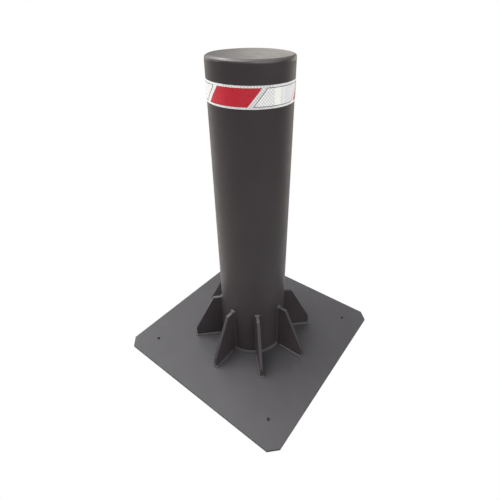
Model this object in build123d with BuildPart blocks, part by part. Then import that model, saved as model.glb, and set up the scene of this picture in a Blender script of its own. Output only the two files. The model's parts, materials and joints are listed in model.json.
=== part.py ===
from build123d import *
import math
import os

# A fixed, surface-mounted bollard: a closed steel tube welded upright on a square base plate,
# stiffened by eight gusset plates, with a band of reflective tape below its cap.
# Millimetres, +Z up. The origin is the centre of the base plate's underside.

# Base plate
PLATE_SIDE = 650.0
PLATE_THICKNESS = 10.0
PLATE_CORNER_CUT = 27.5
ANCHOR_SPACING = 500.0
ANCHOR_HOLE_DIAMETER = 9.0

# Post: tube and cap
OVERALL_HEIGHT = 960.0
POST_DIAMETER = 219.0
POST_WALL = 6.0
CAP_THICKNESS = 10.0
CAP_SEAT = 3.0
RIM_RADIUS = 8.5

# Gusset plates, standing on the base plate and butted against the tube
GUSSET_COUNT = 8
GUSSET_THICKNESS = 10.0
GUSSET_REACH = 211.0
GUSSET_HEIGHT = 181.0
GUSSET_NOSE = 38.0
GUSSET_SHELF = 30.0
GUSSET_SNIPE = 12.0

# Weld beads
RING_WELD_LEG = 8.0
RING_WELD_CROWN = 0.5
GUSSET_WELD_LEG = 5.0
FULL_TURN = 360.0
MITRE_ANGLE = 45.0

# Reflective tape: a carrier film with slanted red and white panels laminated on it
TAPE_BOTTOM = 857.5
TAPE_WIDTH = 50.8
TAPE_FILM = 0.5
TAPE_START_ANGLE = 120.7
TAPE_SEAM_GAP = 1.0
PANEL_FILM = 0.3
PANEL_BORDER = 5.0
PANEL_LENGTH = 108.2
PANEL_GAP = 12.7
PANEL_SLANT = 32.6
PANEL_COUNT = 6
FIRST_PANEL_INSET = 2.0
SECTOR_DEPTH = 10.0

# Worked out from the above
POST_RADIUS = POST_DIAMETER / 2
BORE_RADIUS = POST_RADIUS - POST_WALL
TUBE_TOP = OVERALL_HEIGHT - CAP_THICKNESS
CAP_RADIUS = POST_RADIUS - CAP_SEAT
TAPE_RADIUS = POST_RADIUS + TAPE_FILM
TAPE_LENGTH = 2 * math.pi * TAPE_RADIUS - TAPE_SEAM_GAP
PANEL_PITCH = PANEL_LENGTH + PANEL_GAP
PANEL_BOTTOM = TAPE_BOTTOM + PANEL_BORDER
PANEL_TOP = TAPE_BOTTOM + TAPE_WIDTH - PANEL_BORDER

os.makedirs("parts", exist_ok=True)


def save(builder, label):
    """Names a finished piece and writes its STEP file."""
    builder.part.label = label
    export_step(builder.part, f"parts/{label}.step")


def gusset_plane(index):
    """The mid-plane of one gusset: x runs out from the post's axis and y runs up from the base plate."""
    heading = index * FULL_TURN / GUSSET_COUNT
    outward = Vector(1, 0, 0).rotate(Axis.Z, heading)
    upward = Vector(0, 0, 1)
    return Plane(origin=(0, 0, PLATE_THICKNESS), x_dir=outward, z_dir=outward.cross(upward))


def tape_angle(distance):
    """The angle in degrees round the post at a distance along the tape from its start."""
    return TAPE_START_ANGLE + math.degrees(distance / TAPE_RADIUS)


def make_base_plate():
    """Square plate with clipped corners and four anchor holes."""
    with BuildPart() as plate:
        with BuildSketch():
            Rectangle(PLATE_SIDE, PLATE_SIDE)
        extrude(amount=PLATE_THICKNESS)
        chamfer(plate.edges().filter_by(Axis.Z), length=PLATE_CORNER_CUT)
        with GridLocations(ANCHOR_SPACING, ANCHOR_SPACING, 2, 2):
            Hole(ANCHOR_HOLE_DIAMETER / 2)
    save(plate, "base_plate")


def make_post_tube():
    """Open tube standing on the base plate."""
    with BuildPart() as tube:
        with BuildSketch(Plane.XY.offset(PLATE_THICKNESS)):
            Circle(POST_RADIUS)
            Circle(BORE_RADIUS, mode=Mode.SUBTRACT)
        extrude(amount=TUBE_TOP - PLATE_THICKNESS)
    save(tube, "post_tube")


def post_end():
    """The post's top end in one piece: a disc whose rim is ground round."""
    with BuildPart() as end:
        with BuildSketch(Plane.XY.offset(TUBE_TOP)):
            Circle(POST_RADIUS)
        extrude(amount=CAP_THICKNESS)
        rim = end.edges().filter_by(GeomType.CIRCLE).sort_by(Axis.Z)[-1]
        fillet(rim, radius=RIM_RADIUS)
    return end.part


def make_top_cap():
    """Disc resting on the tube's end, a little smaller than the tube."""
    end = post_end()
    with BuildPart() as cap:
        add(end)
        with BuildSketch(Plane.XY.offset(TUBE_TOP)):
            Circle(CAP_RADIUS)
        extrude(amount=CAP_THICKNESS, mode=Mode.INTERSECT)
    save(cap, "top_cap")


def make_cap_weld():
    """Weld metal in the step between the tube's end and the cap, ground to the same round."""
    end = post_end()
    with BuildPart() as weld:
        add(end)
        with BuildSketch(Plane.XY.offset(TUBE_TOP)):
            Circle(CAP_RADIUS)
        extrude(amount=CAP_THICKNESS, mode=Mode.SUBTRACT)
    save(weld, "cap_weld")


def make_foot_ring_weld():
    """Continuous fillet bead round the tube's foot. It passes under the gussets through their snipes."""
    toe = (POST_RADIUS + RING_WELD_LEG, PLATE_THICKNESS)
    root = (POST_RADIUS, PLATE_THICKNESS)
    top = (POST_RADIUS, PLATE_THICKNESS + RING_WELD_LEG)
    with BuildPart() as weld:
        with BuildSketch(Plane.XZ):
            with BuildLine():
                Polyline(top, root, toe)
                SagittaArc(toe, top, -RING_WELD_CROWN)
            make_face()
        revolve(axis=Axis.Z)
    save(weld, "foot_ring_weld")


def make_gusset(index):
    """One stiffening plate: flat shelf, long slope and short nose, its inner lower corner sniped."""
    inside = POST_RADIUS - GUSSET_WELD_LEG
    outline = [
        (inside, GUSSET_HEIGHT),
        (POST_RADIUS + GUSSET_SHELF, GUSSET_HEIGHT),
        (GUSSET_REACH, GUSSET_NOSE),
        (GUSSET_REACH, 0),
        (POST_RADIUS + GUSSET_SNIPE, 0),
        (inside, POST_RADIUS + GUSSET_SNIPE - inside),
    ]
    with BuildPart() as gusset:
        with BuildSketch(gusset_plane(index)):
            with BuildLine():
                Polyline(*outline, close=True)
            make_face()
        extrude(amount=GUSSET_THICKNESS / 2, both=True)
        with BuildSketch(Plane.XY):
            Circle(POST_RADIUS)
        extrude(amount=OVERALL_HEIGHT, mode=Mode.SUBTRACT)
    save(gusset, f"gusset_{index + 1}")


def make_gusset_foot_weld(index):
    """Fillet bead along both sides of a gusset's foot and round its nose."""
    heel = POST_RADIUS + GUSSET_SNIPE
    toe = GUSSET_REACH + GUSSET_WELD_LEG
    mid_plane = gusset_plane(index)
    ground = Plane(origin=mid_plane.origin, x_dir=mid_plane.x_dir, z_dir=(0, 0, 1))
    with BuildPart() as weld:
        with BuildSketch(ground):
            with Locations(((heel + toe) / 2, 0)):
                Rectangle(toe - heel, GUSSET_THICKNESS + 2 * GUSSET_WELD_LEG)
        extrude(amount=GUSSET_WELD_LEG, taper=MITRE_ANGLE)
        with BuildSketch(ground):
            with Locations((GUSSET_REACH / 2, 0)):
                Rectangle(GUSSET_REACH, GUSSET_THICKNESS)
        extrude(amount=GUSSET_NOSE, mode=Mode.SUBTRACT)
    save(weld, f"gusset_foot_weld_{index + 1}")


def make_gusset_wall_weld(index):
    """Fillet bead where a gusset meets the tube: up one side, over the shelf and down the other side."""
    bottom = GUSSET_SNIPE
    top = GUSSET_HEIGHT + GUSSET_WELD_LEG
    bead_height = top - bottom
    inside = POST_RADIUS - GUSSET_WELD_LEG
    flare = 2 * (POST_RADIUS - inside)
    mid_plane = gusset_plane(index)
    wall = Plane(
        origin=mid_plane.from_local_coords((inside, (bottom + top) / 2, 0)),
        x_dir=(0, 0, 1),
        z_dir=mid_plane.x_dir,
    )
    with BuildPart() as weld:
        with BuildSketch(wall):
            Rectangle(bead_height + flare, GUSSET_THICKNESS + 2 * GUSSET_WELD_LEG + flare)
        extrude(amount=2 * GUSSET_WELD_LEG, taper=MITRE_ANGLE)
        with BuildSketch(mid_plane):
            with Locations((POST_RADIUS, GUSSET_HEIGHT / 2)):
                Rectangle(2 * GUSSET_SNIPE, GUSSET_HEIGHT)
        extrude(amount=GUSSET_THICKNESS / 2, both=True, mode=Mode.SUBTRACT)
        with BuildSketch(Plane.XY):
            Circle(POST_RADIUS)
        extrude(amount=OVERALL_HEIGHT, mode=Mode.SUBTRACT)
    save(weld, f"gusset_wall_weld_{index + 1}")


def film_band(inner_radius, film, bottom, top, start, end):
    """A thin band bent round the post between two distances along the tape."""
    with BuildPart() as band:
        with BuildSketch(Plane.XZ.rotated((0, 0, tape_angle(start)))):
            with Locations((inner_radius + film / 2, (bottom + top) / 2)):
                Rectangle(film, top - bottom)
        revolve(axis=Axis.Z, revolution_arc=tape_angle(end) - tape_angle(start))
    return band.part


def slanted_sector(start):
    """A slice of a thick ring that turns as it rises: the outline that a panel is cut to."""
    with BuildPart() as sector:
        for height, shift in ((PANEL_BOTTOM, 0), (PANEL_TOP, PANEL_SLANT)):
            first = tape_angle(start + shift)
            span = tape_angle(start + shift + PANEL_LENGTH) - first
            with BuildSketch(Plane.XY.offset(height)):
                with BuildLine():
                    outer = CenterArc((0, 0), POST_RADIUS + SECTOR_DEPTH, first, span)
                    inner = CenterArc((0, 0), POST_RADIUS - SECTOR_DEPTH, first, span)
                    Line(outer @ 0, inner @ 0)
                    Line(outer @ 1, inner @ 1)
                make_face()
        loft(ruled=True)
    return sector.part


def panel(index):
    """One parallelogram of film. The last one is trimmed where the tape ends."""
    start = FIRST_PANEL_INSET + index * PANEL_PITCH
    end = min(start + PANEL_SLANT + PANEL_LENGTH, TAPE_LENGTH)
    band = film_band(TAPE_RADIUS, PANEL_FILM, PANEL_BOTTOM, PANEL_TOP, start, end)
    sector = slanted_sector(start)
    with BuildPart() as piece:
        add(band)
        add(sector, mode=Mode.INTERSECT)
    return piece.part


def make_tape():
    """Carrier film wrapped once round the post, its ends meeting at a seam."""
    band = film_band(POST_RADIUS, TAPE_FILM, TAPE_BOTTOM, TAPE_BOTTOM + TAPE_WIDTH, 0, TAPE_LENGTH)
    with BuildPart() as tape:
        add(band)
    save(tape, "reflective_tape")


def make_panels(label, first_index):
    """Every second panel along the tape."""
    pieces = [panel(index) for index in range(first_index, PANEL_COUNT, 2)]
    with BuildPart() as panels:
        add(pieces)
    save(panels, label)


make_base_plate()
make_post_tube()
make_top_cap()
make_cap_weld()
make_foot_ring_weld()
for number in range(GUSSET_COUNT):
    make_gusset(number)
    make_gusset_foot_weld(number)
    make_gusset_wall_weld(number)
make_tape()
make_panels("tape_red_panels", 0)
make_panels("tape_white_panels", 1)
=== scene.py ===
import json
import math

import bmesh
import bpy
from mathutils import Matrix, Vector, noise
from mathutils.geometry import tessellate_polygon


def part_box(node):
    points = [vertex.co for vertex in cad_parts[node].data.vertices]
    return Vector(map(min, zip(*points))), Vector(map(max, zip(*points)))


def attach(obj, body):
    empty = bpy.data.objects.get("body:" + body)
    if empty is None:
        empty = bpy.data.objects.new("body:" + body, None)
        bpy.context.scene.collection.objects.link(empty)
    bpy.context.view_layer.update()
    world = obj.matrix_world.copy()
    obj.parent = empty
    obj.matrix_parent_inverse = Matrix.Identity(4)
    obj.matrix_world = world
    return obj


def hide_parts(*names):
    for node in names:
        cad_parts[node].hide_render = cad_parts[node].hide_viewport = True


# The looks of a fixed steel bollard: powder-coated plates and tube, rippled weld beads and
# reflective tape. Metres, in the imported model's own frame.

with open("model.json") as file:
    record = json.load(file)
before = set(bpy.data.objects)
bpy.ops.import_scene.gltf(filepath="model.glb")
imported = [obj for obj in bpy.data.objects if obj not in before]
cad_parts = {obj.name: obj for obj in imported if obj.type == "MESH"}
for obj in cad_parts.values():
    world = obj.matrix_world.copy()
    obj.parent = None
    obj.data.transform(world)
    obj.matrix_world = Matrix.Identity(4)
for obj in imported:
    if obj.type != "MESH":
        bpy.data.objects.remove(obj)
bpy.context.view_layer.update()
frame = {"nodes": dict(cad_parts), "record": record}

MM = 0.001
FULL_TURN = 2 * math.pi
QUARTER_TURN = math.pi / 2
UP = Vector((0, 0, 1))


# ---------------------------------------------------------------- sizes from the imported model


def reach(node):
    """How far a CAD node's surface goes from the post's axis."""
    return max(vertex.co.xy.length for vertex in frame["nodes"][node].data.vertices)


def mount(name):
    """One of the record's mounts."""
    return next(entry for entry in frame["record"]["mounts"] if entry["name"] == name)


_, plate_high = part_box("base_plate")
tube_low, tube_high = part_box("post_tube")
crown_low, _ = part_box("cap_weld")
cap_low, cap_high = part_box("top_cap")
gusset_low, gusset_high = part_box("gusset_1")
foot_weld_low, foot_weld_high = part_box("gusset_foot_weld_1")
tape_low, tape_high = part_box("reflective_tape")
panel_low, panel_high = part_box("tape_red_panels")

PLATE_TOP = plate_high.z
POST_RADIUS = reach("post_tube")
CAP_RADIUS = reach("top_cap")
TAPE_RADIUS = reach("reflective_tape")
PANEL_RADIUS = reach("tape_red_panels")
RING_WELD_LEG = reach("foot_ring_weld") - POST_RADIUS
GUSSET_THICKNESS = gusset_high.y - gusset_low.y
GUSSET_TOP = gusset_high.z
GUSSET_REACH = gusset_high.x
GUSSET_WELD_LEG = foot_weld_high.z - PLATE_TOP
FOOT_WELD_HEEL = foot_weld_low.x
GUSSET_SNIPE = FOOT_WELD_HEEL - POST_RADIUS
ANCHORS = mount("anchor_holes")["dims"]

# Shapes that the node boxes don't show
POST_WALL = 6 * MM
PLATE_CORNER_CUT = 27.5 * MM
RIM_RADIUS = 8.5 * MM
GUSSET_COUNT = 8
GUSSET_NOSE = 38 * MM
GUSSET_SHELF = 30 * MM
TAPE_START = math.radians(120.7)
TAPE_SEAM_GAP = 1 * MM
TAPE_LENGTH = FULL_TURN * TAPE_RADIUS - TAPE_SEAM_GAP
PANEL_LENGTH = 108.2 * MM
PANEL_GAP = 12.7 * MM
PANEL_PITCH = PANEL_LENGTH + PANEL_GAP
PANEL_SLANT = 32.6 * MM
PANEL_COUNT = 6
FIRST_PANEL_INSET = 2 * MM

# The cut plates' rounded edges, and how finely round shapes are meshed
EDGE_ROUND = 0.9 * MM
EDGE_STEPS = 3
ROUND_STEPS = 256
HOLE_STEPS = 32
TUBE_LEVELS = 12
PANEL_COLUMNS = 48
PANEL_ROWS = 8


# ---------------------------------------------------------------- making pieces


def all_round(face):
    """Every face is part of a curved surface."""
    return True


def narrow_only(face):
    """Only the narrow strips along rounded edges are part of a curved surface."""
    longest = max(edge.calc_length() for edge in face.edges)
    return len(face.verts) == 4 and face.calc_area() < longest * EDGE_ROUND


def add_piece(node, points, faces, material, smooth=all_round, crease=None):
    """The finished piece that stands for a CAD node and rides on the one body. smooth(face) says which faces
    are round. Where a crease angle is given, edges that turn by more than that stay sharp."""
    name = f"{node}_finished"
    mesh = bpy.data.meshes.new(name)
    mesh.from_pydata(points, [], faces)
    mesh.validate()
    tidy = bmesh.new()
    tidy.from_mesh(mesh)
    bmesh.ops.recalc_face_normals(tidy, faces=tidy.faces)
    for face in tidy.faces:
        face.smooth = smooth(face)
    tidy.to_mesh(mesh)
    tidy.free()
    mesh.materials.append(material)
    piece = bpy.data.objects.new(name, mesh)
    bpy.context.scene.collection.objects.link(piece)
    if crease is not None:
        mesh.set_sharp_from_angle(angle=crease)
    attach(piece, "root")
    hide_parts(node)
    return piece


# How far a face's normal points up where the face counts as level, slanted or upright
LEVEL_FROM = 0.9
SLANTED_FROM = 0.3
UPRIGHT_BELOW = 0.5

# Creases that stay sharp: square corners, and the blunter corners of welds and of the cap
SHARP_CREASE = math.radians(40)
BLUNT_CREASE = math.radians(60)

# Marks that the meshes carry for the materials: painted light on faces that point up, and painted shade in
# bores with darker upright sides
PAINTED_TOP_LIGHT_MARK = "painted_top_light"
# Painted shade in drilled bores, with upright sides partly darker
BORE_SHADE_MARK = "painted_bore_shade_dark_sides"
# Shares of painted light on the slanted faces of gussets and of welds
GUSSET_SLANT_SHARE = 0.15
WELD_SLANT_SHARE = 0.6
DARK_SIDE_SHARE = 0.55


def mark_painted_top_light(mesh, slanted_share):
    """Marks for the material the faces that get painted light for pointing up: level ones fully, slanted
    ones partly.
    """
    marks = mesh.attributes.new(PAINTED_TOP_LIGHT_MARK, "FLOAT", "FACE")
    for face in mesh.polygons:
        slanted = slanted_share if face.normal.z > SLANTED_FROM else 0.0
        marks.data[face.index].value = 1.0 if face.normal.z > LEVEL_FROM else slanted


def mark_bore_shade_and_dark_sides(mesh, centres, radius):
    """Marks for the material the faces it darkens: walls of drilled holes fully, as painted shade, and
    upright cut edges partly.
    """
    marks = mesh.attributes.new(BORE_SHADE_MARK, "FLOAT", "FACE")
    for face in mesh.polygons:
        drilled = any((face.center.xy - centre).length < radius for centre in centres)
        edge = DARK_SIDE_SHARE if abs(face.normal.z) < UPRIGHT_BELOW else 0.0
        marks.data[face.index].value = 1.0 if drilled else edge


def outward(angle):
    """The level direction straight out from the post's axis at an angle."""
    return Vector((math.cos(angle), math.sin(angle), 0))


def inset_outline(outline, inset):
    """A convex anticlockwise outline with every side moved in by inset."""
    moved = []
    for here, point in enumerate(outline):
        before = (point - outline[here - 1]).normalized()
        after = (outline[(here + 1) % len(outline)] - point).normalized()
        normals = [Vector((-side.y, side.x)) for side in (before, after)]
        mitre = (normals[0] + normals[1]).normalized()
        moved.append(point + mitre * (inset / mitre.dot(normals[0])))
    return moved


def circle(centre, radius, steps):
    """Points round a circle, clockwise, as the outline of a hole."""
    turns = [-FULL_TURN * step / steps for step in range(steps)]
    return [centre + radius * Vector((math.cos(turn), math.sin(turn))) for turn in turns]


def cut_plate(outline, holes, thickness):
    """Points and faces of a flat plate with rounded edges, its lower face at height 0. Each hole is a centre
    and a radius."""
    lower = []
    for step in range(EDGE_STEPS + 1):
        turn = QUARTER_TURN * step / EDGE_STEPS
        lower.append((EDGE_ROUND * (1 - math.sin(turn)), EDGE_ROUND * (1 - math.cos(turn))))
    upper = [(inset, thickness - height) for inset, height in reversed(lower)]
    profile = lower + upper
    rims = [[inset_outline(outline, inset) for inset, _ in profile]]
    for centre, radius in holes:
        rims.append([circle(centre, radius + inset, HOLE_STEPS) for inset, _ in profile])
    points, faces, ends = [], [], []
    for rim in rims:
        loops = []
        for flat, (_, height) in zip(rim, profile):
            loops.append([len(points) + index for index in range(len(flat))])
            points.extend((point.x, point.y, height) for point in flat)
        for loop, higher in zip(loops, loops[1:]):
            for index in range(len(loop)):
                after = (index + 1) % len(loop)
                faces.append((loop[index], loop[after], higher[after], higher[index]))
        ends.append((loops[0], loops[-1]))
    for loops in zip(*ends):
        if holes:
            order = [index for loop in loops for index in loop]
            triangles = tessellate_polygon([[Vector(points[index]) for index in loop] for loop in loops])
            faces.extend(tuple(order[corner] for corner in triangle) for triangle in triangles)
        else:
            faces.append(tuple(loops[0]))
    return points, faces


def spun(section, start, turn, steps):
    """Points and faces of a closed section swept round the axis. section(angle) gives its points, each a
    radius and a height."""
    whole = turn >= FULL_TURN
    stops = steps if whole else steps + 1
    angles = [start + turn * step / steps for step in range(stops)]
    points, faces = [], []
    for angle in angles:
        points.extend(outward(angle) * radius + UP * height for radius, height in section(angle))
    size = len(points) // stops
    for stop in range(steps):
        here, there = stop * size, (stop + 1) % stops * size
        for corner in range(size):
            after = (corner + 1) % size
            faces.append((here + corner, there + corner, there + after, here + after))
    if not whole:
        faces.append(tuple(range(size)))
        faces.append(tuple(range(steps * size, stops * size)))
    return points, faces


# ---------------------------------------------------------------- materials


class Surface:
    """One material, and short ways to add and join its nodes."""

    def __init__(self, name, roughness, specular):
        self.material = bpy.data.materials.new(name)
        self.material.use_nodes = True
        self.nodes = self.material.node_tree.nodes
        self.shader = self.nodes["Principled BSDF"]
        self.shader.inputs["Roughness"].default_value = roughness
        self.shader.inputs["Specular IOR Level"].default_value = specular
        self.place = self.node("ShaderNodeTexCoord").outputs["Object"]

    def node(self, kind, **settings):
        made = self.nodes.new(kind)
        for key, value in settings.items():
            setattr(made, key, value)
        return made

    def join(self, source, target):
        self.material.node_tree.links.new(source, target)

    def fill(self, socket, value):
        """Gives an input a value, or joins it to another node's output."""
        if isinstance(value, bpy.types.NodeSocket):
            self.join(value, socket)
        else:
            socket.default_value = value

    def grain(self, scale, detail, distortion=0.0, place=None):
        """Noise of about 1/scale metres, from 0 to 1."""
        made = self.node("ShaderNodeTexNoise")
        self.join(place or self.place, made.inputs["Vector"])
        made.inputs["Scale"].default_value = scale
        made.inputs["Detail"].default_value = detail
        made.inputs["Distortion"].default_value = distortion
        return made.outputs["Fac"]

    def ranged(self, value, low, high, new_low=0.0, new_high=1.0):
        """value, smoothly taken from low..high to new_low..new_high."""
        made = self.node("ShaderNodeMapRange", interpolation_type="SMOOTHSTEP")
        for socket, amount in zip(made.inputs, (value, low, high, new_low, new_high)):
            self.fill(socket, amount)
        return made.outputs["Result"]

    def maths(self, operation, first, second=0.0, third=0.0):
        """One step of arithmetic."""
        made = self.node("ShaderNodeMath", operation=operation)
        for socket, amount in zip(made.inputs, (first, second, third)):
            self.fill(socket, amount)
        return made.outputs["Value"]

    def blend(self, share, first, second):
        """Two colours, mixed by share: 0 is all of the first, 1 is all of the second."""
        made = self.node("ShaderNodeMix", data_type="RGBA")
        for socket, amount in zip((made.inputs[0], made.inputs[6], made.inputs[7]), (share, first, second)):
            self.fill(socket, amount)
        return made.outputs[2]

    def colour(self, value):
        self.fill(self.shader.inputs["Base Color"], value)

    def roughness(self, value):
        self.fill(self.shader.inputs["Roughness"], value)

    def bumps(self, *layers):
        """Stacks (height, distance in metres) layers of bump onto the surface."""
        before = None
        for height, distance in layers:
            made = self.node("ShaderNodeBump")
            made.inputs["Distance"].default_value = distance
            self.join(height, made.inputs["Height"])
            if before is not None:
                self.join(before, made.inputs["Normal"])
            before = made.outputs["Normal"]
        self.join(before, self.shader.inputs["Normal"])


def grey(level, warmth=0.0):
    """A linear grey, a little red for positive warmth."""
    return (level * (1 + warmth), level, level * (1 - warmth), 1.0)


def tinted(level, tint):
    """A linear colour: a tint at a level."""
    return (*(level * part for part in tint), 1.0)


NEUTRAL = (1.0, 1.0, 1.0)
COAT_LEVEL = 0.0375
COAT_SPECULAR = 0.3125
# Painted light: how much lighter the faces that point up are made
PAINTED_TOP_LIGHT_GAIN = 1.6
DUST_LIGHTER = 2.4
DUST_ROUGHER = 0.2
# Painted shade in the bores, and the darker upright sides, blend towards this near black
BORE_SHADE_AND_DARK_SIDE = grey(0.002, 0.3)
FINE_PEEL = 0.03 * MM
BROAD_PEEL = 0.1 * MM


def powder_coat(name, tint, dust, roughness, level=COAT_LEVEL, peel=1.0, specular=COAT_SPECULAR):
    """Satin dark grey powder coat: faint mottling, dust as smudges and specks, and orange peel as bumps.
    Where the mesh marks them, faces that point up are lighter with painted light, upright cut edges are
    darker, and bores are darker with painted shade."""
    surface = Surface(name, roughness, specular)
    mottle = surface.ranged(surface.grain(scale=9, detail=4), 0.3, 0.7)
    body = surface.blend(mottle, tinted(level * 0.95, tint), tinted(level * 1.05, tint))
    # Painted light: faces that point up are lighter
    painted_top_light_share = surface.node("ShaderNodeAttribute", attribute_name=PAINTED_TOP_LIGHT_MARK).outputs["Fac"]
    body = surface.blend(painted_top_light_share, body, tinted(level * PAINTED_TOP_LIGHT_GAIN, NEUTRAL))
    patches = surface.ranged(surface.grain(scale=7, detail=5, distortion=1.5), 0.6, 0.76)
    fine = surface.ranged(surface.grain(scale=160, detail=3), 0.4, 0.7)
    smudges = surface.maths("MULTIPLY", patches, fine)
    specks = surface.ranged(surface.grain(scale=420, detail=1), 0.78, 0.82)
    marks = surface.maths("MULTIPLY", surface.maths("MAXIMUM", smudges, specks), dust)
    body = surface.blend(marks, body, tinted(level * DUST_LIGHTER, NEUTRAL))
    # Painted shade in the bores; upright cut edges partly darker
    bore_shade_and_dark_sides = surface.node("ShaderNodeAttribute", attribute_name=BORE_SHADE_MARK).outputs["Fac"]
    surface.colour(surface.blend(bore_shade_and_dark_sides, body, BORE_SHADE_AND_DARK_SIDE))
    satin = surface.ranged(surface.grain(scale=35, detail=3), 0.3, 0.7, roughness - 0.03, roughness + 0.04)
    surface.roughness(surface.maths("ADD", satin, surface.maths("MULTIPLY", marks, DUST_ROUGHER)))
    fine_peel = (surface.grain(scale=900, detail=1), FINE_PEEL * peel)
    broad_peel = (surface.grain(scale=60, detail=2), BROAD_PEEL * peel)
    surface.bumps(fine_peel, broad_peel)
    return surface.material


# The coat on the cap and its ground rim is smoother and glossier than the rest, and the welds' a bit lighter
SMOOTH_COAT = {"tint": (1.08, 0.95, 0.97), "dust": 0.02, "roughness": 0.22, "specular": 0.5}
WELD_COAT = {"tint": (1.05, 0.96, 1.0), "dust": 0.05, "roughness": 0.38}

plate_coat = powder_coat("plate_powder_coat", tint=(1.03, 0.98, 1.05), dust=0.3, roughness=0.46)
post_coat = powder_coat("post_powder_coat", tint=(1.08, 0.92, 0.97), dust=0.05, roughness=0.4)
gusset_coat = powder_coat("gusset_powder_coat", tint=(1.11, 0.94, 1.05), dust=0.1, roughness=0.42)
weld_coat = powder_coat("weld_powder_coat", level=COAT_LEVEL * 1.05, **WELD_COAT)
rim_coat = powder_coat("rim_powder_coat", peel=0.3, **SMOOTH_COAT)
cap_coat = powder_coat("cap_powder_coat", peel=0.06, **SMOOTH_COAT)


# ---------------------------------------------------------------- reflective films

FILM_ROUGHNESS = 0.28
FILM_SPECULAR = 0.4

# The lattice of sealed cells
LATTICE_PITCH = 7.2 * MM
LATTICE_LEAN = 0.9
LINE_CORE = 0.05
LINE_EDGE = 0.16
LINE_SINK = 0.02 * MM

# The bands of painted shade along the tape, where the cells look dull, measured from its start; the bands
# between them are painted glare
BAND_MIDDLE = 112 * MM
BAND_HALF = 61 * MM
BAND_FADE = 5 * MM

# Tinted stripes of painted reflection in the bands of painted glare, each from and to a distance past the
# band of painted shade
STRIPE_FADE = 3.5 * MM
YELLOW_STRIPE = (2 * MM, 19 * MM)
PALE_STRIPE = (25 * MM, 28 * MM)
VIOLET_STRIPE = (33 * MM, 46 * MM)

# Colours of the films; the yellow, pale and violet tints are painted reflection
RED_DEEP = (0.5, 0.021, 0.038, 1)
RED_BRIGHT = (0.54, 0.025, 0.044, 1)
RED_LINES = (0.3, 0.03, 0.04, 1)
RED_EDGE = (0.2, 0.01, 0.016, 1)
RED_SCUFF = (0.6, 0.2, 0.2, 1)
PAINTED_YELLOW_TINT = (0.99, 0.985, 0.93, 1)
PAINTED_PALE_TINT = (0.99, 0.99, 0.95, 1)
PAINTED_VIOLET_TINT = (0.83, 0.825, 0.87, 1)


class Film(Surface):
    """A prismatic reflective film: small sealed cells, in broad bands along the tape. In one band, of
    painted shade, the cells stand out as a grey lattice; in the next, of painted glare, a painted
    reflection, they glare evenly."""

    def __init__(self, name):
        super().__init__(name, FILM_ROUGHNESS, FILM_SPECULAR)
        spot = self.node("ShaderNodeSeparateXYZ")
        self.join(self.place, spot.inputs["Vector"])
        turn = self.maths("ARCTAN2", spot.outputs["Y"], spot.outputs["X"])
        turn = self.maths("FLOORED_MODULO", self.maths("SUBTRACT", turn, TAPE_START), FULL_TURN)
        self.along = self.maths("MULTIPLY", turn, TAPE_RADIUS)
        self.up = self.maths("SUBTRACT", spot.outputs["Z"], tape_low.z)
        place = self.maths("FLOORED_MODULO", self.along, 2 * PANEL_PITCH)
        # Bands of painted shade, where the cells look dull, and of painted glare between them
        off_middle = self.maths("ABSOLUTE", self.maths("SUBTRACT", place, BAND_MIDDLE))
        self.painted_shade_band = self.ranged(off_middle, BAND_HALF - BAND_FADE, BAND_HALF + BAND_FADE, 1.0, 0.0)
        self.past_painted_shade_band = self.maths("SUBTRACT", place, BAND_MIDDLE + BAND_HALF)
        self.lines = self.lattice()

    def lattice(self):
        """1 on the lines between the cells, 0 inside them."""
        lines = []
        for way in (1, -1):
            across = self.maths("MULTIPLY_ADD", self.up, way * LATTICE_LEAN, self.along)
            phase = self.maths("PINGPONG", self.maths("DIVIDE", across, LATTICE_PITCH), 0.5)
            lines.append(self.ranged(phase, LINE_CORE, LINE_EDGE, 1.0, 0.0))
        return self.maths("MAXIMUM", *lines)

    def cells(self, in_painted_shade, in_painted_glare):
        """How strongly the lattice shows, in the bands of painted shade and in the bands of painted glare.
        """
        return self.maths("MULTIPLY", self.lines, self.ranged(self.painted_shade_band, 0.0, 1.0, in_painted_glare, in_painted_shade))

    def stripe(self, start, end):
        """1 along a stretch of the painted glare band, from start to end past the band of painted shade, and
        0 elsewhere.
        """
        begun = self.ranged(self.past_painted_shade_band, start - STRIPE_FADE, start + STRIPE_FADE)
        ended = self.ranged(self.past_painted_shade_band, end - STRIPE_FADE, end + STRIPE_FADE, 1.0, 0.0)
        return self.maths("MULTIPLY", begun, ended)

    def depth_in_panel(self):
        """How far a point is inside the nearest edge of its panel, in metres."""
        rise = self.maths("SUBTRACT", self.up, panel_low.z - tape_low.z)
        tall = panel_high.z - panel_low.z
        upright = self.maths("MULTIPLY_ADD", rise, -PANEL_SLANT / tall, self.along)
        place = self.maths("FLOORED_MODULO", self.maths("SUBTRACT", upright, FIRST_PANEL_INSET), PANEL_PITCH)
        ends = self.maths("MINIMUM", place, self.maths("SUBTRACT", PANEL_LENGTH, place))
        sides = self.maths("MINIMUM", rise, self.maths("SUBTRACT", tall, rise))
        square_to_ends = self.maths("MULTIPLY", ends, tall / math.hypot(tall, PANEL_SLANT))
        return self.maths("MINIMUM", square_to_ends, sides)

    def streaks(self, scale, detail):
        """Noise that only changes along the tape, as upright streaks of painted reflection."""
        place = self.node("ShaderNodeCombineXYZ")
        self.join(self.along, place.inputs["X"])
        return self.grain(scale, detail, place=place.outputs["Vector"])

    def finish(self, rough_low, rough_high):
        """Slightly uneven gloss, and the sealed lines a little sunk."""
        self.roughness(self.ranged(self.grain(scale=200, detail=2), 0.3, 0.7, rough_low, rough_high))
        self.bumps((self.lines, LINE_SINK))
        return self.material


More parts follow.
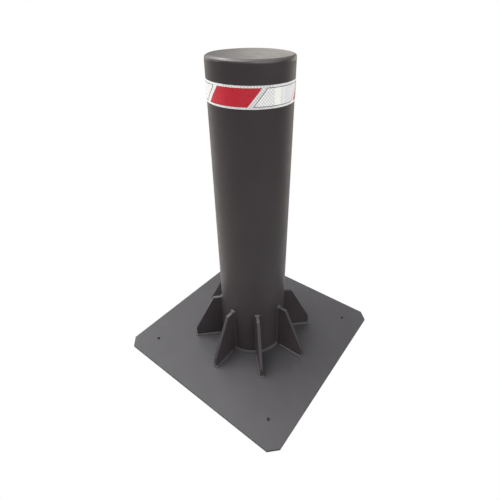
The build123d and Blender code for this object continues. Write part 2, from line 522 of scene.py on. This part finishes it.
def border_material():
    """White film, with the lattice showing through it as small grey dots, strongly in the bands of painted
    shade.
    """
    film = Film("tape_border_film")
    shade = film.ranged(film.grain(scale=60, detail=3), 0.3, 0.7)
    body = film.blend(shade, grey(0.80), grey(0.86))
    # The lattice stands out in the bands of painted shade
    film.colour(film.blend(film.cells(in_painted_shade=0.5, in_painted_glare=0.05), body, grey(0.1)))
    return film.finish(0.24, 0.34)


def red_material():
    """Translucent red over the same film: upright streaks of painted reflection, faint cells that stand out
    more in the bands of painted shade, a darker edge and a few pale scuffs.
    """
    film = Film("tape_red_film")
    # Painted reflection: upright streaks between deeper and brighter red
    shade = film.ranged(film.streaks(scale=20, detail=2), 0.3, 0.7)
    body = film.blend(shade, RED_DEEP, RED_BRIGHT)
    body = film.blend(film.cells(in_painted_shade=0.25, in_painted_glare=0.03), body, RED_LINES)
    edge = film.ranged(film.depth_in_panel(), 0.2 * MM, 1.4 * MM, 0.45, 0.0)
    body = film.blend(edge, body, RED_EDGE)
    scuffs = film.ranged(film.grain(scale=45, detail=1), 0.77, 0.82, 0.0, 0.4)
    film.colour(film.blend(scuffs, body, RED_SCUFF))
    return film.finish(0.26, 0.36)


def white_material():
    """Silvery film: cells, painted glare with upright streaks and faint yellow and violet tints of painted
    reflection, bands of painted shade where the cells stand out, and a thin dark outline.
    """
    film = Film("tape_white_film")
    # Painted reflection: upright streaks in the painted glare
    shade = film.ranged(film.streaks(scale=45, detail=4), 0.38, 0.62)
    painted_glare = film.blend(shade, grey(0.76), grey(0.9))
    # Painted reflection: tinted stripes in the painted glare
    painted_glare = film.blend(film.stripe(*YELLOW_STRIPE), painted_glare, PAINTED_YELLOW_TINT)
    painted_glare = film.blend(film.stripe(*PALE_STRIPE), painted_glare, PAINTED_PALE_TINT)
    painted_glare = film.blend(film.stripe(*VIOLET_STRIPE), painted_glare, PAINTED_VIOLET_TINT)
    # Painted glare in one band, painted shade with a strong lattice in the next
    body = film.blend(film.painted_shade_band, painted_glare, grey(0.95))
    body = film.blend(film.cells(in_painted_shade=0.45, in_painted_glare=0.08), body, grey(0.11))
    outline = film.ranged(film.depth_in_panel(), 1.0 * MM, 1.7 * MM, 1.0, 0.0)
    film.colour(film.blend(outline, body, grey(0.05)))
    return film.finish(0.18, 0.34)


border_film = border_material()
red_film = red_material()
white_film = white_material()


# ---------------------------------------------------------------- plates and tube


def make_plate():
    """Square base plate with clipped corners and four drilled holes."""
    half = plate_high.x
    clipped = half - PLATE_CORNER_CUT
    outline = []
    for turn in range(4):
        rotation = Matrix.Rotation(turn * QUARTER_TURN, 2)
        outline.append(rotation @ Vector((half, -clipped)))
        outline.append(rotation @ Vector((half, clipped)))
    x = ANCHORS["spacing_x_mm"] * MM / 2
    y = ANCHORS["spacing_y_mm"] * MM / 2
    radius = ANCHORS["hole_r_mm"] * MM
    holes = [(Vector(centre), radius) for centre in ((x, y), (-x, y), (-x, -y), (x, -y))]
    points, faces = cut_plate(outline, holes, PLATE_TOP)
    piece = add_piece("base_plate", points, faces, plate_coat, narrow_only)
    # Painted shade in the anchor holes
    mark_bore_shade_and_dark_sides(piece.data, [centre for centre, _ in holes], radius + EDGE_ROUND)


def make_tube():
    """The post's tube, with its bore."""
    rise = (tube_high.z - tube_low.z) / TUBE_LEVELS
    heights = [tube_low.z + rise * level for level in range(TUBE_LEVELS + 1)]
    outside = [(POST_RADIUS, height) for height in heights]
    inside = [(POST_RADIUS - POST_WALL, height) for height in reversed(heights)]
    points, faces = spun(lambda angle: outside + inside, 0, FULL_TURN, ROUND_STEPS)
    add_piece("post_tube", points, faces, post_coat, crease=SHARP_CREASE)


# The cap's top: one side is low, and another is dished from a share of the flat's radius on
LOW_SIDE = math.radians(171)
LOW_DROP = 1.3 * MM
DISH_SIDE = math.radians(-97)
DISH_DROP = 0.4 * MM
DISH_START = 0.85

# The rim's rounded edge, and how much of its radius it gains or loses on each side
WIDE_SIDE = math.radians(245)
WIDE_GAIN = 0.28
TIGHT_SIDE = math.radians(32)
TIGHT_DEPTH_LOSS = 0.35
TIGHT_DROP_LOSS = 0.25
SHALLOW_SIDE = math.radians(-25)
SHALLOW_LOSS = 0.22
RIM_WANDER = 0.06

# The two facets that grinding has left on it: from 0, round, to 1, flat, and where one meets the other
FLAT_SIDE = math.radians(-65)
FLATNESS_LEAST = 0.45
FLATNESS_GAIN = 0.5
FLATNESS_WANDER = 0.15
FACET_BREAK = math.radians(34)
BREAK_WANDER = 0.2

# Grinding chatter, fine all round and coarse in one short stretch
FINE_CHATTER = 0.05 * MM
FINE_FINENESS = 19
COARSE_CHATTER = 0.25 * MM
COARSE_FINENESS = 45
COARSE_SIDE = math.radians(-70)
COARSE_HALF = math.radians(7)

# How finely the crown is meshed, with rings of points close together over the dished part of the flat
CROWN_STEPS = 32
RIM_POINTS = 9
CAP_EDGE_POINTS = 12
FLAT_SHARES = (0.98, 0.96, 0.94, 0.92, 0.9, 0.88, 0.86, 0.84, 0.7, 0.5, 0.25)


def facing(angle, side, sharpness=1):
    """1 at one side of the post, fading to 0 a quarter turn away, faster for more sharpness."""
    return max(0.0, math.cos(angle - side)) ** sharpness


def unevenness(angle, fineness, seed=(0, 0, 0)):
    """A smooth random value about 0 that changes round the post, faster for more fineness."""
    return noise.noise(outward(angle) * fineness + Vector(seed))


def top_height(angle, share):
    """The height of the cap's top at a share of its flat's radius. Grinding has left one side a little low,
    and on another side it has dished the flat just inside the rounded edge."""
    low = facing(angle, LOW_SIDE, 3)
    dished = facing(angle, DISH_SIDE, 3)
    into_dish = max(0.0, (share - DISH_START) / (1 - DISH_START))
    return cap_high.z - LOW_DROP * low * share**3 - DISH_DROP * dished * into_dish**2


def resampled(points, count):
    """The same run of points as count points at equal distances."""
    distances = [0.0]
    for before, after in zip(points, points[1:]):
        distances.append(distances[-1] + (after - before).length)
    run = []
    here = 0
    for step in range(count):
        wanted = distances[-1] * step / (count - 1)
        while here < len(points) - 2 and distances[here + 1] < wanted:
            here += 1
        share = (wanted - distances[here]) / (distances[here + 1] - distances[here])
        run.append(points[here].lerp(points[here + 1], share))
    return run


def rim_size(angle):
    """How far the rounded edge reaches in and down from the post's corner. It is ground by hand, so it is
    wider on one side, shallower on another and tighter on a third."""
    tight = facing(angle, TIGHT_SIDE, 6)
    wide = WIDE_GAIN * facing(angle, WIDE_SIDE)
    shallow = SHALLOW_LOSS * facing(angle, SHALLOW_SIDE)
    depth = 1 + wide - TIGHT_DEPTH_LOSS * tight + RIM_WANDER * unevenness(angle, 2.3)
    drop = 1 - shallow - TIGHT_DROP_LOSS * tight + RIM_WANDER * unevenness(angle, 1.9, seed=(5, 2, 1))
    return RIM_RADIUS * depth, RIM_RADIUS * drop


def chatter(angle):
    """How deep the grinding chatter is at an angle."""
    off_coarse = (angle - COARSE_SIDE + math.pi) % FULL_TURN - math.pi
    coarse = COARSE_CHATTER * math.exp(-((off_coarse / COARSE_HALF) ** 2))
    coarse *= noise.noise(Vector((angle * COARSE_FINENESS, 2, 0)))
    return abs(coarse + FINE_CHATTER * unevenness(angle, FINE_FINENESS))


def crown(angle):
    """The post's ground top edge at one angle, as points on the weld and points on the cap, each a radius
    and a height. It is a rounded edge with two soft facets."""
    depth, drop = rim_size(angle)
    gain = FLATNESS_GAIN * facing(angle, FLAT_SIDE, 0.5)
    flatness = FLATNESS_LEAST + gain + FLATNESS_WANDER * unevenness(angle, 2.9, seed=(1, 8, 3))
    turn_break = FACET_BREAK * (1 + BREAK_WANDER * unevenness(angle, 2.1, seed=(9, 4, 2)))
    corners = [Vector((1, 0)), Vector((math.cos(turn_break), math.sin(turn_break))), Vector((0, 1))]
    bite = chatter(angle) / RIM_RADIUS
    top = top_height(angle, 1)
    points = []
    for step in range(CROWN_STEPS + 1):
        turn = QUARTER_TURN * step / CROWN_STEPS
        if turn < turn_break:
            chord = corners[0].lerp(corners[1], turn / turn_break)
        else:
            chord = corners[1].lerp(corners[2], (turn - turn_break) / (QUARTER_TURN - turn_break))
        spot = Vector((math.cos(turn), math.sin(turn))).lerp(chord, flatness)
        spot -= spot.normalized() * (bite * math.sin(2 * turn))
        points.append(Vector((POST_RADIUS - depth * (1 - spot.x), top - drop * (1 - spot.y))))
    cut = next(index for index, point in enumerate(points) if point.x < CAP_RADIUS)
    before, after = points[cut - 1], points[cut]
    seam = before.lerp(after, (before.x - CAP_RADIUS) / (before.x - after.x))
    outer = resampled([*points[:cut], seam], RIM_POINTS)
    inner = resampled([seam, *points[cut:]], CAP_EDGE_POINTS)
    return [tuple(point) for point in outer], [tuple(point) for point in inner]


def cap_weld_section(angle):
    """The section of the ground weld round the cap."""
    outer, _ = crown(angle)
    return [(POST_RADIUS, crown_low.z), *outer, (CAP_RADIUS, crown_low.z)]


def make_cap_weld():
    """The weld ring round the cap."""
    points, faces = spun(cap_weld_section, 0, FULL_TURN, ROUND_STEPS)
    add_piece("cap_weld", points, faces, rim_coat, crease=BLUNT_CREASE)


def make_cap():
    """The cap disc, whose edge goes on with the weld ring's shape."""
    points, faces, rings = [], [], []
    for step in range(ROUND_STEPS):
        angle = FULL_TURN * step / ROUND_STEPS
        _, inner = crown(angle)
        flat_radius = inner[-1][0]
        section = [(CAP_RADIUS, cap_low.z), *inner]
        section += [(flat_radius * share, top_height(angle, share)) for share in FLAT_SHARES]
        rings.append([len(points) + index for index in range(len(section))])
        points.extend(outward(angle) * radius + UP * height for radius, height in section)
    top, bottom = len(points), len(points) + 1
    points += [(0, 0, cap_high.z), (0, 0, cap_low.z)]
    for here, there in zip(rings, rings[1:] + rings[:1]):
        for index in range(len(here) - 1):
            faces.append((here[index], there[index], there[index + 1], here[index + 1]))
        faces.append((here[-1], there[-1], top))
        faces.append((here[0], bottom, there[0]))
    add_piece("top_cap", points, faces, cap_coat, crease=BLUNT_CREASE)


def heading(index):
    """The angle round the post of a numbered gusset."""
    return FULL_TURN * index / GUSSET_COUNT


def turned(point, angle):
    """A point turned about the post's axis."""
    return tuple(Matrix.Rotation(angle, 3, "Z") @ Vector(point))


def make_gusset(index):
    """One stiffening plate, its inner edge shaped to the tube."""
    outline = [
        Vector((POST_RADIUS, PLATE_TOP + GUSSET_SNIPE)),
        Vector((POST_RADIUS + GUSSET_SNIPE, PLATE_TOP)),
        Vector((GUSSET_REACH, PLATE_TOP)),
        Vector((GUSSET_REACH, PLATE_TOP + GUSSET_NOSE)),
        Vector((POST_RADIUS + GUSSET_SHELF, GUSSET_TOP)),
        Vector((POST_RADIUS, GUSSET_TOP)),
    ]
    points, faces = cut_plate(outline, [], GUSSET_THICKNESS)
    placed = []
    for x, y, z in points:
        across = z - GUSSET_THICKNESS / 2
        on_tube = x < POST_RADIUS + EDGE_ROUND / 2
        radial = math.sqrt(POST_RADIUS**2 - across**2) if on_tube else x
        placed.append(turned((radial, across, y), heading(index)))
    piece = add_piece(f"gusset_{index + 1}", placed, faces, gusset_coat, narrow_only)
    # Painted light on the gusset's shelf, and partly on its slanted edge
    mark_painted_top_light(piece.data, GUSSET_SLANT_SHARE)


# ---------------------------------------------------------------- weld beads

# Every bead's section: how it bulges, how far it sits into the plates, and its length between sections
BEAD_CONVEXITY = 1.45
BEAD_SINK = 0.4 * MM
BEAD_STEP = 0.62 * MM
BEAD_ARC_STEPS = 6
CORNER_STEPS = 6

# The ripples and the unevenness of a bead laid by hand: distances along it, and shares of its leg
RIPPLE_PITCH = 3 * MM
RIPPLE_DEPTH = 0.1
RIPPLE_BASE = 0.94
PITCH_WANDER = 0.8 * MM
PITCH_WANDER_SPAN = 6 * MM
SIZE_WANDER = 0.18
SIZE_WANDER_SPAN = 14 * MM
SIZE_SEED = 11
SEED_SPACING = 7.3
END_TAPER = 3 * MM
END_SHARE = 0.35

# The ring round the tube's foot
RING_ARC_STEPS = 7
RING_RIPPLES = 210
RING_WANDER = 0.12
RING_FINENESS = 9
RING_MOST = 1.15

# The gussets' foot beads, smaller round the nose
FOOT_SHARE = 1.15
FOOT_MOST = 1.4
NOSE_LOSS = 0.3

# The gussets' wall beads, with a blob on top
WALL_SHARE = 0.8
WALL_SEED = 40
BLOB_HALF = 10 * MM
BLOB_GAIN = 0.6
BLOB_WANDER = 0.5
BLOB_WANDER_SPAN = 3 * MM


def bead(stations, steps, ring=False):
    """Points and faces of a weld bead, with two ends or as a ring. A station is (root, side, up, leg): the
    bead fills the corner between the surfaces that run from root along side and along up, and sits a little
    into both."""
    points, faces = [], []
    for root, side, up, leg in stations:
        section = [root + side * leg - up * BEAD_SINK]
        for step in range(steps + 1):
            turn = QUARTER_TURN * step / steps
            out = leg * math.cos(turn) ** BEAD_CONVEXITY
            rise = leg * math.sin(turn) ** BEAD_CONVEXITY
            section.append(root + side * out + up * rise)
        section.append(root + up * leg - side * BEAD_SINK)
        section.append(root - up * BEAD_SINK - side * BEAD_SINK)
        points.extend(section)
    count = len(stations)
    size = len(points) // count
    for stop in range(count if ring else count - 1):
        here, there = stop * size, (stop + 1) % count * size
        for corner in range(size):
            after = (corner + 1) % size
            faces.append((here + corner, there + corner, there + after, here + after))
    if not ring:
        faces.append(tuple(range(size)))
        faces.append(tuple(range((count - 1) * size, count * size)))
    return points, faces


def ripple(distance, pitch):
    """The stacked-coin profile along a bead, from 0 in a groove to 1 on a crest."""
    return abs(math.sin(math.pi * distance / pitch))


def wander(distance, seed, span):
    """A smooth random value about 0 along a bead, which changes over about a span."""
    return noise.noise(Vector((distance / span, seed * SEED_SPACING, 0.5)))


def near_middle(distance, length, half):
    """1 in the middle of a bead's length, falling to 0 at half to both sides of it."""
    return max(0.0, 1 - abs(distance - length / 2) / half)


def leg_at(distance, length, leg, seed):
    """The bead's leg at a distance along it: ripples, slow unevenness, and tapered ends."""
    off_pitch = PITCH_WANDER * wander(distance, seed, PITCH_WANDER_SPAN)
    size = leg * (RIPPLE_BASE + RIPPLE_DEPTH * ripple(distance + off_pitch, RIPPLE_PITCH))
    size *= 1 + SIZE_WANDER * wander(distance, seed + SIZE_SEED, SIZE_WANDER_SPAN)
    from_end = min(distance, length - distance)
    return size * min(1.0, END_SHARE + (1 - END_SHARE) * from_end / END_TAPER)


def make_ring_weld():
    """Fillet bead round the tube's foot, passing through the gussets' snipes."""
    length = FULL_TURN * POST_RADIUS
    steps = int(length / BEAD_STEP)
    foot = Vector((0, 0, PLATE_TOP))
    stations = []
    for step in range(steps):
        angle = FULL_TURN * step / steps
        crest = ripple(angle * POST_RADIUS, length / RING_RIPPLES)
        leg = RING_WELD_LEG * (1 - RIPPLE_DEPTH + RIPPLE_DEPTH * crest)
        leg *= 1 + RING_WANDER * unevenness(angle, RING_FINENESS)
        leg = min(leg, RING_WELD_LEG * RING_MOST)
        stations.append((outward(angle) * POST_RADIUS + foot, outward(angle), UP, leg))
    points, faces = bead(stations, RING_ARC_STEPS, ring=True)
    add_piece("foot_ring_weld", points, faces, weld_coat, crease=BLUNT_CREASE)


def corner_path(corners, side):
    """Roots, side directions and distances along a bead from its first to its last point. At each point
    between them its side direction makes a quarter turn about z."""
    path = []
    distance = 0.0
    for start, end in zip(corners, corners[1:]):
        span = (end - start).length
        steps = max(2, int(span / BEAD_STEP))
        for step in range(steps + 1):
            path.append((start.lerp(end, step / steps), side, distance + span * step / steps))
        distance += span
        if end is not corners[-1]:
            for step in range(1, CORNER_STEPS):
                turned_side = Matrix.Rotation(QUARTER_TURN * step / CORNER_STEPS, 3, "Z") @ side
                path.append((end, turned_side, distance + BEAD_STEP * step))
            distance += BEAD_STEP * CORNER_STEPS
            side = Matrix.Rotation(QUARTER_TURN, 3, "Z") @ side
    return path, distance


def make_foot_weld(index):
    """Fillet bead along both sides of a gusset's foot and round its nose."""
    half = GUSSET_THICKNESS / 2
    route = [(FOOT_WELD_HEEL, -half), (GUSSET_REACH, -half), (GUSSET_REACH, half), (FOOT_WELD_HEEL, half)]
    path, length = corner_path([Vector((x, y, PLATE_TOP)) for x, y in route], Vector((0, -1, 0)))
    stations = []
    for root, side, distance in path:
        leg = leg_at(distance, length, GUSSET_WELD_LEG * FOOT_SHARE, index)
        leg = min(leg, GUSSET_WELD_LEG * FOOT_MOST)
        leg *= 1 - NOSE_LOSS * near_middle(distance, length, GUSSET_THICKNESS)
        stations.append((root, side, UP, leg))
    points, faces = bead(stations, BEAD_ARC_STEPS)
    placed = [turned(point, heading(index)) for point in points]
    node = f"gusset_foot_weld_{index + 1}"
    add_piece(node, placed, faces, weld_coat, crease=BLUNT_CREASE)


def make_wall_weld(index):
    """Fillet bead up one side of a gusset, over its shelf and down the other side, against the tube.
    It is shaped on a flat wall whose x runs round the tube and z out from it, then wrapped onto the tube."""
    half = GUSSET_THICKNESS / 2
    bottom = PLATE_TOP + GUSSET_SNIPE
    route = [(half, bottom), (half, GUSSET_TOP), (-half, GUSSET_TOP), (-half, bottom)]
    path, length = corner_path([Vector((x, y, 0)) for x, y in route], Vector((1, 0, 0)))
    stations = []
    for root, side, distance in path:
        leg = leg_at(distance, length, GUSSET_WELD_LEG * WALL_SHARE, index + WALL_SEED)
        blob = BLOB_GAIN * (1 + BLOB_WANDER * wander(distance, index, BLOB_WANDER_SPAN))
        leg *= 1 + blob * near_middle(distance, length, BLOB_HALF)
        stations.append((root, side, UP, leg))
    points, faces = bead(stations, BEAD_ARC_STEPS)
    placed = []
    for point in points:
        out = outward(heading(index) + point.x / POST_RADIUS)
        placed.append(out * (POST_RADIUS + point.z) + UP * point.y)
    node = f"gusset_wall_weld_{index + 1}"
    piece = add_piece(node, placed, faces, weld_coat, crease=BLUNT_CREASE)
    # Painted light on the bead's tops
    mark_painted_top_light(piece.data, WELD_SLANT_SHARE)


# ---------------------------------------------------------------- reflective tape


def tape_angle(distance):
    """The angle round the post at a distance along the tape."""
    return TAPE_START + distance / TAPE_RADIUS


def make_tape():
    """The carrier film, its ends meeting at the seam."""
    section = [(POST_RADIUS, tape_low.z), (TAPE_RADIUS, tape_low.z)]
    section += [(TAPE_RADIUS, tape_high.z), (POST_RADIUS, tape_high.z)]
    points, faces = spun(lambda angle: section, TAPE_START, TAPE_LENGTH / TAPE_RADIUS, ROUND_STEPS)
    add_piece("reflective_tape", points, faces, border_film, crease=SHARP_CREASE)


def panel_sheet(start, radius):
    """The points of one slanted panel at one radius, in rows from its lower edge up. The last panel stops at
    the tape's end."""
    points = []
    for row in range(PANEL_ROWS + 1):
        height = panel_low.z + (panel_high.z - panel_low.z) * row / PANEL_ROWS
        left = start + PANEL_SLANT * row / PANEL_ROWS
        right = min(left + PANEL_LENGTH, TAPE_LENGTH)
        for column in range(PANEL_COLUMNS + 1):
            angle = tape_angle(left + (right - left) * column / PANEL_COLUMNS)
            points.append(outward(angle) * radius + UP * height)
    return points


def make_panels(first, node, material):
    """Every second slanted panel of the tape as one piece."""
    points, faces = [], []
    wide = PANEL_COLUMNS + 1
    sheet = wide * (PANEL_ROWS + 1)
    for number in range(first, PANEL_COUNT, 2):
        start = FIRST_PANEL_INSET + number * PANEL_PITCH
        base = len(points)
        points += panel_sheet(start, TAPE_RADIUS) + panel_sheet(start, PANEL_RADIUS)
        for row in range(PANEL_ROWS):
            for column in range(PANEL_COLUMNS):
                corner = base + row * wide + column
                quad = (corner, corner + 1, corner + wide + 1, corner + wide)
                faces.append(tuple(reversed(quad)))
                faces.append(tuple(index + sheet for index in quad))
        border = [base + column for column in range(PANEL_COLUMNS)]
        border += [base + row * wide + PANEL_COLUMNS for row in range(PANEL_ROWS)]
        border += [base + PANEL_ROWS * wide + column for column in range(PANEL_COLUMNS, 0, -1)]
        border += [base + row * wide for row in range(PANEL_ROWS, 0, -1)]
        for here, there in zip(border, border[1:] + border[:1]):
            faces.append((here, there, there + sheet, here + sheet))
    add_piece(node, points, faces, material, crease=SHARP_CREASE)


make_plate()
make_tube()
make_cap_weld()
make_cap()
make_ring_weld()
for number in range(GUSSET_COUNT):
    make_gusset(number)
    make_foot_weld(number)
    make_wall_weld(number)
make_tape()
make_panels(0, "tape_red_panels", red_film)
make_panels(1, "tape_white_panels", white_film)


# ---------------------------------------------------------------- floor, light and camera

CAMERA_PLACE = Vector((0.5662, -0.7205, 1.0700))
CAMERA_HEADING = math.radians(36.41)
CAMERA_TILT_DOWN = math.radians(33.44)
CAMERA_ROLL = math.radians(-0.34)
CAMERA_LENS = 25.3
CAMERA_SHIFT = (-0.0226, -0.0426)

BACKDROP_FLOOR = 9.0
BACKDROP_BEND = 3.0
BACKDROP_HEIGHT = 12.0
BACKDROP_SIDES = 96
BEND_STEPS = 8
# How far the painted shade under the plate reaches from the axis
PAINTED_SHADE_HALF = plate_high.x - 1.5 * PLATE_CORNER_CUT


def make_backdrop():
    """A wide pale floor that the bollard stands on, curving up into a wall all round.
    It is evenly white by itself, so that floor and wall look the same from every side, and under the plate
    it is painted black as painted shade, which shows only through the anchor holes."""
    points, faces = [], []
    section = [(BACKDROP_FLOOR * share, 0) for share in (0.02, 0.1, 0.3, 0.6, 1)]
    for step in range(1, BEND_STEPS + 1):
        turn = QUARTER_TURN * step / BEND_STEPS
        across, rise = math.sin(turn), 1 - math.cos(turn)
        section.append((BACKDROP_FLOOR + BACKDROP_BEND * across, BACKDROP_BEND * rise))
    section.append((BACKDROP_FLOOR + BACKDROP_BEND, BACKDROP_HEIGHT))
    size = len(section)
    for step in range(BACKDROP_SIDES):
        out = outward(FULL_TURN * step / BACKDROP_SIDES)
        points.extend(out * radius + UP * height for radius, height in section)
        here, there = step * size, (step + 1) % BACKDROP_SIDES * size
        for rung in range(size - 1):
            faces.append((here + rung, here + rung + 1, there + rung + 1, there + rung))
    faces.append(tuple(step * size for step in range(BACKDROP_SIDES)))
    mesh = bpy.data.meshes.new("studio_backdrop")
    mesh.from_pydata(points, [], faces)
    mesh.validate()
    paper = Surface("studio_backdrop_white", roughness=0.9, specular=0.0)
    paper.colour(grey(0.0))
    paper.shader.inputs["Emission Strength"].default_value = 1.0
    spot = paper.node("ShaderNodeSeparateXYZ")
    paper.join(paper.place, spot.inputs["Vector"])
    off_axis = [paper.maths("ABSOLUTE", spot.outputs[side]) for side in "XY"]
    # Painted shade: black under the plate, seen only through the anchor holes
    painted_shade_under_plate = paper.maths("LESS_THAN", paper.maths("MAXIMUM", *off_axis), PAINTED_SHADE_HALF)
    paper.fill(paper.shader.inputs["Emission Color"], paper.blend(painted_shade_under_plate, grey(1.0), grey(0.0)))
    mesh.materials.append(paper.material)
    backdrop = bpy.data.objects.new("studio_backdrop", mesh)
    bpy.context.scene.collection.objects.link(backdrop)
    backdrop.visible_diffuse = False
    backdrop.visible_glossy = False
    backdrop.visible_shadow = False


def toward(height, turn):
    """The direction at a height above the horizon and a turn clockwise from straight behind the bollard, as
    the camera sees it. Both are in degrees."""
    up = math.radians(height)
    return outward(QUARTER_TURN + CAMERA_HEADING - math.radians(turn)) * math.cos(up) + UP * math.sin(up)


class Surroundings:
    """A dark room with soft patches of light in it."""

    def __init__(self):
        world = bpy.data.worlds.new("studio_surroundings")
        bpy.context.scene.world = world
        world.use_nodes = True
        self.tree = world.node_tree
        self.place = self.tree.nodes.new("ShaderNodeTexCoord").outputs["Generated"]
        self.total = None

    def node(self, kind, operation, *values):
        made = self.tree.nodes.new(kind)
        made.operation = operation
        for socket, value in zip(made.inputs, values):
            if isinstance(value, bpy.types.NodeSocket):
                self.tree.links.new(value, socket)
            else:
                socket.default_value = value
        return made

    def glow(self, direction, sharpness, strength, colour):
        """Adds a round patch of light that fades out from its middle, faster for more sharpness."""
        aim = self.node("ShaderNodeVectorMath", "DOT_PRODUCT", self.place, direction).outputs["Value"]
        aim = self.node("ShaderNodeMath", "MAXIMUM", aim, 0.0).outputs["Value"]
        fade = self.node("ShaderNodeMath", "POWER", aim, sharpness).outputs["Value"]
        tint = [strength * part for part in colour]
        before = self.total or (0, 0, 0)
        self.total = self.node("ShaderNodeVectorMath", "MULTIPLY_ADD", tint, fade, before).outputs["Vector"]

    def finish(self):
        self.tree.links.new(self.total, self.tree.nodes["Background"].inputs["Color"])


def make_sun(name, direction, spread, strength, colour):
    """A big soft light at a great distance."""
    lamp = bpy.data.lights.new(name, "SUN")
    lamp.angle = math.radians(spread)
    lamp.energy = strength
    lamp.color = colour
    light = bpy.data.objects.new(name, lamp)
    light.rotation_euler = direction.to_track_quat("Z", "Y").to_euler()
    bpy.context.scene.collection.objects.link(light)


WARM = (1.0, 0.94, 0.84)
COOL = (0.95, 0.96, 1.0)

# How sharply the patches of light in the room fade out from their middles
FLOOR_GLOW = 1.5
WIDE_GLOW = 10
NARROW_GLOW = 100
GLINT = 400


def make_lighting():
    """One big key light high on the left, weaker patches round the room, and light thrown up by the floor.
    The narrow patches give the tube its light edges, the cap its sheen and the rim its glints."""
    make_sun("key_high_left", toward(65, 270), spread=49, strength=5.1, colour=NEUTRAL)
    room = Surroundings()
    room.glow(toward(60, 0), WIDE_GLOW, 0.90, NEUTRAL)
    room.glow(toward(60, 180), WIDE_GLOW, 1.6, NEUTRAL)
    room.glow(toward(30, 90), WIDE_GLOW, 0.8, NEUTRAL)
    room.glow(toward(30, 135), WIDE_GLOW, 2.9, NEUTRAL)
    room.glow(toward(30, 315), WIDE_GLOW, 1.35, NEUTRAL)
    room.glow(toward(15, 190), WIDE_GLOW, 0.4, WARM)
    room.glow(toward(-3, 45), WIDE_GLOW, 1.4, WARM)
    room.glow(toward(-15, 315), WIDE_GLOW, 1.0, WARM)
    room.glow(toward(-25, 270), WIDE_GLOW, 0.49, WARM)
    room.glow(toward(45, 330), WIDE_GLOW, 0.95, NEUTRAL)
    room.glow(toward(7, 3), NARROW_GLOW, 0.73, WARM)
    room.glow(toward(7, 25), NARROW_GLOW, 0.66, WARM)
    room.glow(toward(18, 320), NARROW_GLOW, 0.72, WARM)
    room.glow(toward(18, 0), NARROW_GLOW, 0.55, NEUTRAL)
    room.glow(toward(30, 328), NARROW_GLOW, 0.64, NEUTRAL)
    room.glow(toward(21, 274), NARROW_GLOW, 2.1, NEUTRAL)
    room.glow(toward(33, 165), NARROW_GLOW, 3.6, COOL)
    room.glow(toward(36, 342), GLINT, 3.6, NEUTRAL)
    room.glow(-UP, FLOOR_GLOW, 1.27, NEUTRAL)
    room.finish()


def make_camera():
    """A wide lens close above the bollard, looking down at it."""
    lens = bpy.data.cameras.new("studio_camera")
    lens.lens = CAMERA_LENS
    lens.sensor_width = 36.0
    lens.shift_x, lens.shift_y = CAMERA_SHIFT
    lens.clip_start = 0.05
    lens.clip_end = 200.0
    camera = bpy.data.objects.new("studio_camera", lens)
    turn = Matrix.Rotation(CAMERA_HEADING, 4, "Z")
    tilt = Matrix.Rotation(QUARTER_TURN - CAMERA_TILT_DOWN, 4, "X")
    roll = Matrix.Rotation(-CAMERA_ROLL, 4, "Z")
    camera.matrix_world = Matrix.Translation(CAMERA_PLACE) @ turn @ tilt @ roll
    bpy.context.scene.collection.objects.link(camera)
    bpy.context.scene.camera = camera


make_backdrop()
make_lighting()
make_camera()

scene = bpy.context.scene
scene.view_settings.view_transform = "Standard"
scene.view_settings.look = "None"
